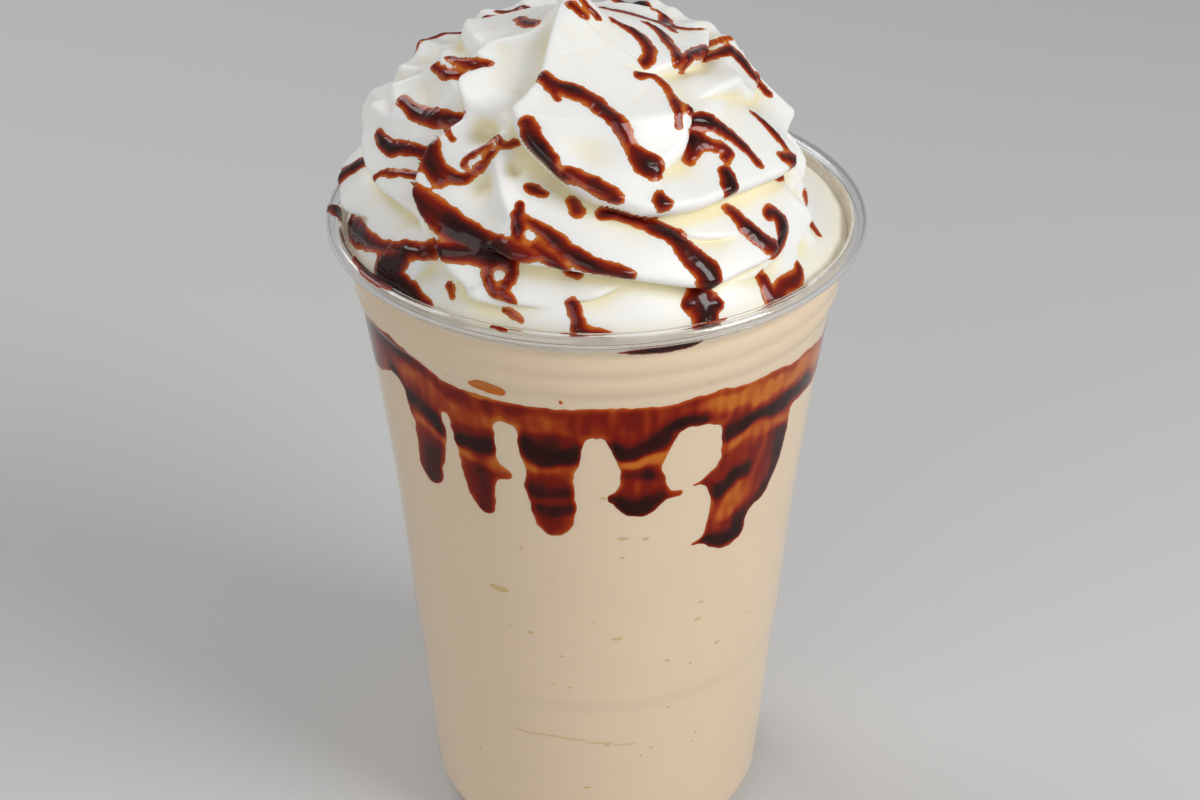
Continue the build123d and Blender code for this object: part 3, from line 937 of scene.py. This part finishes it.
    def held_in(self, points):
        """Keeps the cream clear of the wall and the rolled rim, and under the tip's height."""
        radius = np.linalg.norm(points[..., :2], axis=-1)
        limit = np.where(points[..., 2] - RIM_TOP > 0.3, RIM_RADIUS - RIM_CLEARANCE, self.base_radius + 0.2)
        points[..., :2] *= np.minimum(1, limit / np.maximum(radius, 1e-6))[..., None]
        points[..., 2] = np.minimum(points[..., 2], CREAM_TOP - TIP_CLEARANCE)
        return points


def run_along(path):
    """The distance along a path at each of its points."""
    return np.concatenate([[0], np.cumsum(np.linalg.norm(np.diff(path, axis=0), axis=1))])


@functools.lru_cache(maxsize=1)
def cream_surface(relief):
    """The cream's grid, the painted shade of each of its points in its folds, dents and beside the wall, and
    the height of each of its rows.
    """
    swirl = Swirl()
    return *swirl.shaped(relief), swirl.row_heights


def make_cream(look):
    """The swirl of cream, closed at its tip and where it lies on the drink."""
    grid, hollow, _ = cream_surface(look.fold_relief)
    tip = grid[-1].mean(0)
    points, faces = close_poles(grid, LEVEL, tip[2])
    points[-1, :2] = tip[:2]
    mesh = make_mesh("cream_swirl", points, faces, whipped(look))
    # The painted shade of each point, for the cream's colour
    set_attribute(mesh, "hollow", [*hollow.reshape(-1), 0, 0])
    add_piece("cream_swirl", mesh, "whipped_cream")


# ---------------------------------------------------------------- the syrup


class Skin:
    """A surface that syrup can lie on: a grid of points that closes round the axis, and each row's height."""

    def __init__(self, points, heights, fine=(1, 1)):
        self.points = self.refined(points, fine)
        soft = np.stack([blurred(part, 2, 2) for part in np.moveaxis(grid_normals(points), -1, 0)], -1)
        normals = self.refined(soft, fine)
        self.normals = normals / np.linalg.norm(normals, axis=-1, keepdims=True)
        rows = np.linspace(0, len(heights) - 1, len(self.points))
        self.heights = np.interp(rows, np.arange(len(heights)), heights)

    def refined(self, values, fine):
        """The grid with each cell cut into smaller cells, up the rows and round the columns."""
        rows, (tall, wide) = len(values), fine
        up = np.linspace(0, rows - 1, (rows - 1) * tall + 1)
        low = np.minimum(up.astype(int), rows - 2)
        share = (up - low)[:, None, None]
        values = values[low] * (1 - share) + values[low + 1] * share
        after = np.roll(values, -1, 1)
        parts = [values * (1 - part / wide) + after * (part / wide) for part in range(wide)]
        return np.stack(parts, 2).reshape(len(values), -1, 3)

    def at(self, degrees, height):
        """The place on the surface at an angle and a height."""
        rows, columns = self.points.shape[:2]
        row = np.clip(np.interp(height, self.heights, np.arange(rows)), 0, rows - 1.001)
        column = degrees / 360 * columns % columns
        low, left = row.astype(int), column.astype(int) % columns
        up, over = (row - low)[:, None], (column - column.astype(int))[:, None]
        right = (left + 1) % columns
        under = self.points[low, left] * (1 - over) + self.points[low, right] * over
        above = self.points[low + 1, left] * (1 - over) + self.points[low + 1, right] * over
        return under * (1 - up) + above * up

    def depth_in(self, stroke, spread=0.0):
        """The grid points near a stroke, and how deep each lies inside it when it has spread."""
        path = spline(stroke) if len(stroke) > 1 else np.asarray(stroke, float)
        places = self.at(path[:, 0], path[:, 1])
        radii = path[:, 2] / 2 + spread
        near, batches = near_points(self.points.reshape(-1, 3), places, radii.max() + 2.0)
        points = self.points.reshape(-1, 3)[near]
        depth = np.empty(len(near))
        for part in batches:
            depth[part] = (radii - np.linalg.norm(points[part][:, None] - places, axis=-1)).max(1)
        return near, depth

    def covered(self, strokes, blend, inside=None, spread=0.0):
        """How deep each grid point lies inside the strokes, in millimetres, below zero outside them."""
        shape = self.points.shape[:2]
        field = np.full(shape, -6.0).reshape(-1) if inside is None else inside.reshape(-1)
        for stroke in strokes:
            near, depth = self.depth_in(stroke, spread)
            field[near] = blend * np.logaddexp(field[near] / blend, depth / blend)
        return field.reshape(shape)

    def roughen(self, inside, steps):
        """Makes the coat's edge uneven. Each step is a size and an amount in millimetres."""
        near = inside > -1.5
        for seed, (size, amount) in enumerate(steps):
            inside[near] += amount * noise_field(self.points[near], size, seed + 3)
        return inside


def film(name, skin, inside, rise, sink, material, thick=None, replaced=None):
    """A coat over the part of a skin that lies inside. Rise and sink are how far it stands out and
    reaches in, and thick is how deep its colour is, from 0 to 1.
    """
    rows, columns = inside.shape
    after = (np.arange(columns) + 1) % columns
    kept = np.max([inside[:-1], inside[:-1][:, after], inside[1:][:, after], inside[1:]], 0) > 0
    quads = ring_faces(rows, columns).reshape(rows - 1, columns, 4)[kept]
    # A point just outside slides along the skin onto the coat's edge.
    outside = inside <= 0
    slope_up = np.gradient(inside, axis=0)
    slope_round = (np.roll(inside, -1, 1) - np.roll(inside, 1, 1)) / 2
    pull = np.where(outside, -inside / np.maximum(slope_up**2 + slope_round**2, 1e-9), 0)
    way_up = np.gradient(skin.points, axis=0) * np.clip(pull * slope_up, -1, 1)[..., None]
    way_round = (np.roll(skin.points, -1, 1) - np.roll(skin.points, 1, 1)) / 2
    placed = skin.points + way_up + way_round * np.clip(pull * slope_round, -1, 1)[..., None]
    top = placed + skin.normals * np.where(outside, -COAT_EDGE, rise)[..., None]
    bottom = placed - skin.normals * np.where(outside, COAT_EDGE, sink)[..., None]
    # Both sides share the points along the coat's edge, which closes it there. A coat that reaches the
    # grid's first or last row is open along that row.
    used = np.unique(quads)
    inner = used[~outside.reshape(-1)[used]]
    number = np.full(rows * columns, -1)
    number[used] = np.arange(len(used))
    under = number.copy()
    under[inner] = len(used) + np.arange(len(inner))
    points = np.vstack([top.reshape(-1, 3)[used], bottom.reshape(-1, 3)[inner]])
    mesh = make_mesh(name, points, np.vstack([number[quads], under[quads][:, ::-1]]), material)
    if thick is not None:
        set_attribute(mesh, "thick", np.clip(thick, 0, 1).reshape(-1)[np.concatenate([used, inner])])
    add_piece(name, mesh, replaced)


def back_strokes(count):
    """Strokes of drizzle round the back, where the hand went to and fro."""
    pick = random.Random(12)
    strokes = []
    for i in range(count):
        start = 12 + 120 * ((i * 0.381966) % 1)
        height = 5 + 27 * ((i + 0.5) / count)
        reach = pick.uniform(12, 22) * (1 + height / 30)
        fall = pick.uniform(2, 5)
        width = pick.uniform(1.4, 3.2)
        middle = (start + 0.65 * reach, height - 0.5 * fall, width * pick.uniform(0.8, 1.3))
        first = [(start, height, width * 0.5), (start + 0.3 * reach, height - 0.1 * fall, width)]
        strokes.append([*first, middle, (start + reach, height - fall, width * 0.6)])
    return strokes


def make_drizzle(look, material):
    """The strokes over the cream, thick and rounded, each with a thin stain round it."""
    points, _, heights = cream_surface(look.fold_relief)
    skin = Skin(points, heights, (2, 1))
    stain = look.stain / MM
    inside = skin.covered(DRIZZLE + back_strokes(look.back_strokes), 0.32, spread=0.9 * stain)
    inside = skin.roughen(inside, DRIZZLE_EDGE)
    # The stain is a thin film, and the body of the stroke stands rounded inside it.
    body = inside - stain
    roll = np.sqrt(1 - (1 - np.clip(body, 0, 1)) ** 2)
    full = 0.1 * np.clip(inside / 0.25, 0, 1) + (0.2 + 0.44 * np.clip(body, 0, 1.6)) * roll
    # The colour deepens quickly to 1.35 mm from the edge, and slowly over the next 1.2 mm.
    thick = 0.75 * np.clip(inside / 1.35, 0, 1) + 0.25 * np.clip((inside - 1.35) / 1.2, 0, 1)
    wet = inside > 0
    thick[wet] *= 1.0 + 0.42 * noise_field(skin.points[wet], 5.5, 11)
    film("drizzle", skin, inside, full * look.drizzle_height / MM, 0.3, material, thick)


def neck_skin(low, step, columns=NECK_COLUMNS):
    """The middle of the cup's sheet from a height up to just under the rim's top."""
    heights = np.arange(low, -0.6, step)
    radii = np.where(heights > -2 * CURL_RADIUS - 0.1, SHEET_RADIUS, wall_radius(RIM_TOP + heights))
    return Skin(rings(radii - WALL / 2, RIM_TOP + heights, columns), heights)


def make_residue(look):
    """A thin milky coat left on the inside of the neck between the drink and the rolled rim."""
    skin = neck_skin(LEVEL - RIM_TOP - 0.4, 0.3, NECK_COLUMNS // 2)
    heights = skin.heights[:, None]
    inside = np.minimum(-1.1 - heights, heights - heights[0]) + np.zeros(NECK_COLUMNS // 2)
    inside = skin.roughen(inside, RESIDUE_EDGE)
    film("neck_residue", skin, inside, 0.05, 0.34, residue_coat(look))


def make_neck_smears(material):
    """Syrup smeared on the wall just under the rim."""
    skin = neck_skin(-7.0, 0.2)
    inside = skin.roughen(skin.covered(NECK_SMEARS, 0.2), NECK_SMEAR_EDGE)
    film("neck_smears", skin, inside, 0.12, 0.3, material, 0.3 + inside)


def make_rim_smears(material):
    """Syrup run thinly over the rolled rim."""
    turns = np.arange(26, 165, 8)  # degrees round the roll, from its outer side
    ring = np.radians(turns)
    radii = RIM_RADIUS - CURL_RADIUS + CURL_RADIUS * np.cos(ring)
    heights = RIM_TOP - CURL_RADIUS + CURL_RADIUS * np.sin(ring)
    skin = Skin(rings(radii, heights, RIM_COLUMNS), turns, (2, 2))
    inside = skin.roughen(skin.covered(RIM_SMEARS, 0.2), RIM_SMEAR_EDGE)
    film("rim_smears", skin, inside, np.clip(inside, 0, 0.12), 0.1, material, 0.25 + inside / 1.6)


def back_runs():
    """Runs down the back of the wall, with the dark rope across each and its dark end."""
    pick = random.Random(4)
    runs, shades = [], []
    for i in range(BACK_RUNS):
        place = 2 + 176 * (i + 0.5) / BACK_RUNS + pick.uniform(-6, 6)
        end = pick.uniform(-50, -33)
        width = pick.uniform(5, 10)
        lean = pick.uniform(-3, 3)
        rope = pick.uniform(-29.5, -26.5)
        middle = (place + lean * 0.6, (rope + end) / 2, width * pick.uniform(0.75, 1.0))
        top = [(place, -24.5, width * 1.25), (place, rope, width)]
        runs.append([*top, middle, (place + lean, end + width * 0.4, width * 0.75)])
        if pick.random() < 0.5:
            side = pick.choice((-1, 1)) * width * 0.8
            runs.append([(place + side * 0.4, end + width, 2.6), (place + side, end + width * 0.8, 0.8)])
        across = [(place - 8, rope + 1.2, 1.8), (place, rope - 0.8, 2.8), (place + 8, rope + 1.6, 1.8)]
        light = [(place - 4, rope - 3.4, 1.6), (place + 4, rope - 2.8, 2.2)]
        low = [(place + lean - 3, end + 3, 3), (place + lean + 3, end + 2.5, 3)]
        shades += [(across, 0.5), (light, pick.uniform(-0.3, -0.1)), (low, pick.uniform(0.1, 0.5))]
    return runs, shades


def make_wall_syrup(look, material):
    """The band of syrup against the wall, with its runs."""
    heights = np.arange(-56, -10, 0.36)
    skin = Skin(rings(wall_radius(RIM_TOP + heights) - WALL / 2, RIM_TOP + heights, WALL_COLUMNS), heights)
    degrees = (np.arange(WALL_COLUMNS) * 360 / WALL_COLUMNS + 180) % 360 - 180
    top = np.interp(degrees, *zip(*BAND_TOP))
    low = np.interp(degrees, *zip(*BAND_LOW))
    runs, shades = back_runs()
    inside = skin.covered(RUNS + runs, 1.0, np.minimum(top - heights[:, None], heights[:, None] - low))
    inside = np.maximum(inside, skin.covered(SPLASHES, 0.2))
    inside = skin.roughen(inside, WALL_SYRUP_EDGE)
    tone = np.zeros(inside.size)
    for stroke, amount in SHADES + shades:
        near, depth = skin.depth_in([(a, h, w * 0.5) for a, h, w in stroke])
        spread = np.mean([w for _, _, w in stroke])
        tone[near] += amount * np.exp(-((np.minimum(depth, 0) / (0.55 * spread)) ** 2))
    # The ropes wander up and down the wall, and fine streaks run down over them.
    tone = drifted(tone.reshape(inside.shape), 3.6 * noise_field(skin.points, 4.5, 8))
    streaks = noise_field(skin.points * (1, 1, 0.25), 1.6, 10)
    tone = tone * (1 + 0.4 * noise_field(skin.points, 3.2, 9)) + 0.16 * streaks
    edge = np.clip(inside, 0, 1)
    # The colour's depth follows the syrup's thickness, with the painted shade at the left added in.
    thick = 0.18 + 0.27 * edge + tone * (0.4 + 0.6 * edge)
    film("wall_syrup", skin, inside, 0.08, look.coat_depth / MM, material, thick, replaced="wall_sauce")


# ---------------------------------------------------------------- the stage


def make_stage(look):
    """The floor, the camera, the lamps and the sky."""
    half = FLOOR_SIZE / 2
    corners = [(-half, -half, 0), (half, -half, 0), (half, half, 0), (-half, half, 0)]
    mesh = bpy.data.meshes.new("floor")
    mesh.from_pydata(corners, [], [(0, 1, 2, 3)])
    shader = Shader("floor")
    surface = shader.principled(Base_Color=opaque(look.floor_colour), Roughness=0.7)
    mesh.materials.append(shader.finish(surface))
    add_object("floor", mesh)

    camera = add_object("camera", bpy.data.cameras.new("camera"))
    camera.data.lens = LENS
    camera.data.clip_start = 0.01
    camera.location = CAMERA_PLACE
    camera.rotation_euler = (math.radians(CAMERA_TILT), 0, 0)
    bpy.context.scene.camera = camera

    for name, (place, size, power) in LAMPS.items():
        light = add_object(name, bpy.data.lights.new(name, "AREA"))
        light.data.size = size
        light.data.energy = power
        light.location = place
        light.rotation_euler = (LAMP_TARGET - Vector(place)).to_track_quat("-Z", "Y").to_euler()

    world = bpy.data.worlds.new("studio")
    world.use_nodes = True
    bpy.context.scene.world = world
    sky = world.node_tree.nodes["Background"]
    sky.inputs["Color"].default_value = (1, 1, 1, 1)
    sky.inputs["Strength"].default_value = SKY_STRENGTH
    bpy.context.scene.view_settings.view_transform = "Standard"


# ---------------------------------------------------------------- the add-on


def colour(name, description, default):
    """A colour that the sidebar shows."""
    return bpy.props.FloatVectorProperty(name=name, description=description, default=default, subtype="COLOR")


class MilkshakeLook(bpy.types.PropertyGroup):
    """Sizes and colours of the drink, its cup and its toppings."""

    fold_relief: bpy.props.FloatProperty(
        name="Folds", description="Share of their full height that the cream's folds have", subtype="FACTOR",
        default=1.0, min=0.0, max=1.2
    )
    drizzle_height: bpy.props.FloatProperty(
        name="Drizzle height", description="How far a thick stroke stands out from the cream", unit="LENGTH",
        default=0.0005, min=0.0001, max=0.001
    )
    stain: bpy.props.FloatProperty(
        name="Stain", description="How far a thin stain reaches out from under each stroke", unit="LENGTH",
        default=0.00055, min=0.0, max=0.002
    )
    coat_depth: bpy.props.FloatProperty(
        name="Wall syrup", description="How far the syrup on the wall reaches into the drink", unit="LENGTH",
        default=0.0008, min=0.0003, max=0.002
    )
    back_strokes: bpy.props.IntProperty(
        name="Back strokes", description="How many strokes of drizzle lie round the back", default=17, min=1
    )
    small_bubbles: bpy.props.IntProperty(
        name="Small bubbles", description="How many small bubbles dot the wall", default=90, min=0
    )
    plastic_colour: colour("Plastic", "Tint of the clear cup", (0.97, 0.975, 0.98))
    shake_colour: colour("Shake", "Colour of the drink", (0.84, 0.665, 0.475))
    residue_colour: colour("Residue", "Colour of the thin coat on the neck", (0.86, 0.78, 0.65))
    shake_pit_colour: colour("Shake bubbles", "Colour inside the bubbles", (0.80, 0.58, 0.26))
    cream_colour: colour("Cream", "Colour of the cream", (0.93, 0.92, 0.885))
    # The colour of the painted shade in the cream's folds and dents
    cream_shade_colour: colour("Cream hollows", "Colour deep in the folds", (0.90, 0.82, 0.56))
    syrup_edge: colour("Syrup stain", "Syrup at its thinnest edge", (0.55, 0.15, 0.016))
    syrup_thin: colour("Thin syrup", "Syrup in a thin coat", (0.38, 0.045, 0.004))
    syrup_middle: colour("Syrup", "Syrup of middle thickness", (0.20, 0.007, 0.0010))
    syrup_deep: colour("Thick syrup", "Syrup where it is deep", (0.046, 0.005, 0.003))
    floor_colour: colour("Floor", "Colour of the studio floor", (0.62, 0.62, 0.62))


class MILKSHAKE_OT_cup(bpy.types.Operator):
    """Revolves the clear cup with its rolled rim"""

    bl_idname = "milkshake.cup"
    bl_label = "Cup"

    def execute(self, context):
        make_cup(context.scene.milkshake)
        return {"FINISHED"}


class MILKSHAKE_OT_shake(bpy.types.Operator):
    """Fills the cup with the drink"""

    bl_idname = "milkshake.shake"
    bl_label = "Shake"

    def execute(self, context):
        look = context.scene.milkshake
        make_shake(look)
        make_residue(look)
        make_bubbles(look)
        return {"FINISHED"}


class MILKSHAKE_OT_cream(bpy.types.Operator):
    """Pipes the swirl of whipped cream"""

    bl_idname = "milkshake.cream"
    bl_label = "Cream"

    def execute(self, context):
        make_cream(context.scene.milkshake)
        return {"FINISHED"}


class MILKSHAKE_OT_drizzle(bpy.types.Operator):
    """Drizzles syrup over the cream and the rim"""

    bl_idname = "milkshake.drizzle"
    bl_label = "Drizzle"

    def execute(self, context):
        look = context.scene.milkshake
        material = syrup(look, "drizzle_syrup", 0.14, 0.32, 0.12)
        make_drizzle(look, material)
        make_rim_smears(material)
        make_neck_smears(material)
        return {"FINISHED"}


class MILKSHAKE_OT_wall_syrup(bpy.types.Operator):
    """Runs syrup down the inside of the wall"""

    bl_idname = "milkshake.wall_syrup"
    bl_label = "Wall syrup"

    def execute(self, context):
        look = context.scene.milkshake
        make_wall_syrup(look, syrup(look, "wall_syrup", 0.5, 0.02, 0.0))
        return {"FINISHED"}


class MILKSHAKE_OT_stage(bpy.types.Operator):
    """Sets the floor, the lights and the camera"""

    bl_idname = "milkshake.stage"
    bl_label = "Stage"

    def execute(self, context):
        make_stage(context.scene.milkshake)
        return {"FINISHED"}


class MILKSHAKE_PT_panel(bpy.types.Panel):
    """Lists the steps, the sizes and the colours"""

    bl_idname = "MILKSHAKE_PT_panel"
    bl_label = "Milkshake"
    bl_space_type = "VIEW_3D"
    bl_region_type = "UI"
    bl_category = "Milkshake"

    def draw(self, context):
        for step in STEPS:
            self.layout.operator(step.bl_idname)
        for name in MilkshakeLook.__annotations__:
            self.layout.prop(context.scene.milkshake, name)


STEPS = (
    MILKSHAKE_OT_stage,
    MILKSHAKE_OT_cup,
    MILKSHAKE_OT_shake,
    MILKSHAKE_OT_wall_syrup,
    MILKSHAKE_OT_cream,
    MILKSHAKE_OT_drizzle,
)
CLASSES = (MilkshakeLook, *STEPS, MILKSHAKE_PT_panel)


def register():
    for item in CLASSES:
        bpy.utils.register_class(item)
    bpy.types.Scene.milkshake = bpy.props.PointerProperty(type=MilkshakeLook)


def unregister():
    del bpy.types.Scene.milkshake
    for item in reversed(CLASSES):
        bpy.utils.unregister_class(item)


def main():
    register()
    for step in STEPS:
        group, name = step.bl_idname.split(".")
        getattr(getattr(bpy.ops, group), name)()


if __name__ == "__main__":
    main()
